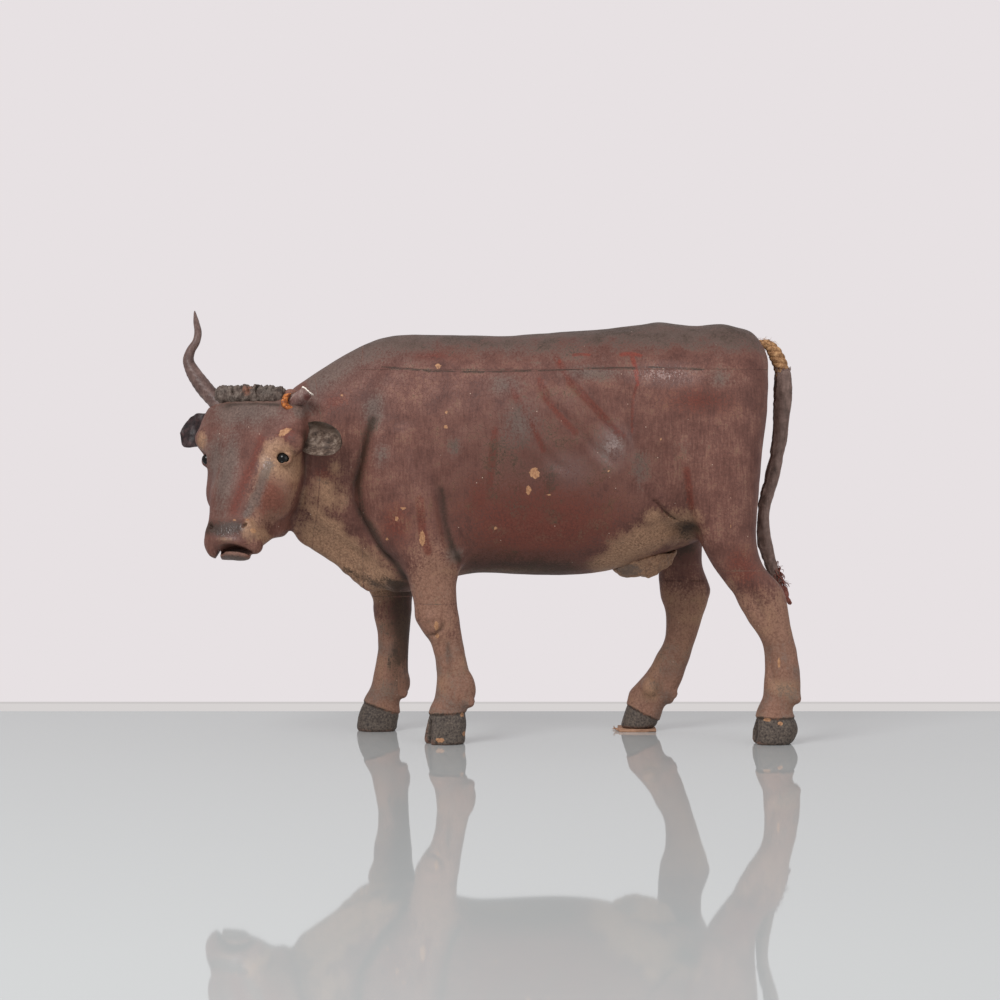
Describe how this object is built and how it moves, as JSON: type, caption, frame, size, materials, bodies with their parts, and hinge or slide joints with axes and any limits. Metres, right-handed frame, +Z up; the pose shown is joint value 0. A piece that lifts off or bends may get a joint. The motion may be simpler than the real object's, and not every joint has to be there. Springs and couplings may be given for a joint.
{
  "type": "bull sculpture",
  "caption": "Carved and painted wooden bull standing with its head turned to its left, glued up from blocks, with glass eyes, leather ears, one broken horn and a swinging rope tail.",
  "frame": {"origin": "centre of the whole figure's box, on the floor that its hooves stand on", "axes": "+Z up, -X towards the head, +X towards the tail, -Y to the bull's left"},
  "size_m": [0.356, 0.1048, 0.2454],
  "materials": {
    "painted_wood": "red-brown paint over ground, worn and dusty, satin",
    "painted_wood_back": "the same paint under a grey film of dust, matt",
    "painted_wood_head": "red-brown and grey paint, worn, satin",
    "painted_wood_legs": "brown paint with orange chips, dark hooves, satin",
    "painted_wood_groin": "ochre paint, matt",
    "horn_paint": "thin brown paint on wood, polished by handling",
    "bare_wood": "unpainted light wood",
    "glass": "solid black glass, polished",
    "near_ear_leather": "painted grey-brown leather",
    "far_ear_leather": "dark brown shrunken leather",
    "sleeve_leather": "brown leather, sewn, worn",
    "rope_fibre": "laid orange-brown bast fibre",
    "hair": "coarse curled hair stiffened with glue and paint"
  },
  "bodies": {
    "carving": {"trunk_block": "painted_wood", "back_board": "painted_wood_back", "neck_block": "painted_wood", "head_block": "painted_wood_head", "left_foreleg": "painted_wood_legs", "left_foreleg_dowel": "bare_wood", "right_foreleg": "painted_wood_legs", "right_foreleg_dowel": "bare_wood", "left_hind_leg": "painted_wood_legs", "left_hind_leg_dowel": "bare_wood", "right_hind_leg": "painted_wood_legs", "right_hind_leg_dowel": "bare_wood", "neck_dowel": "bare_wood", "head_dowel": "bare_wood", "front_board_peg": "bare_wood", "rear_board_peg": "bare_wood", "groin_pouch": "painted_wood_groin", "sole_slip": "bare_wood", "left_eye": "glass", "right_eye": "glass", "left_ear": "near_ear_leather", "right_ear": "far_ear_leather", "right_horn": "horn_paint", "right_horn_peg": "bare_wood", "left_horn_stub": "horn_paint", "left_horn_peg": "bare_wood", "poll_tuft": "hair"},
    "tail": {"tail_rope": "rope_fibre", "tail_sleeve": "sleeve_leather", "tail_tuft": "hair"}
  },
  "joints": [
    {"name": "tail_swing", "type": "hinge", "parent": "carving", "child": "tail", "pos_m": [0.15657, 0.00365, 0.228], "axis": [1, 0, 0], "range_deg": [-4, 20]}
  ]
}
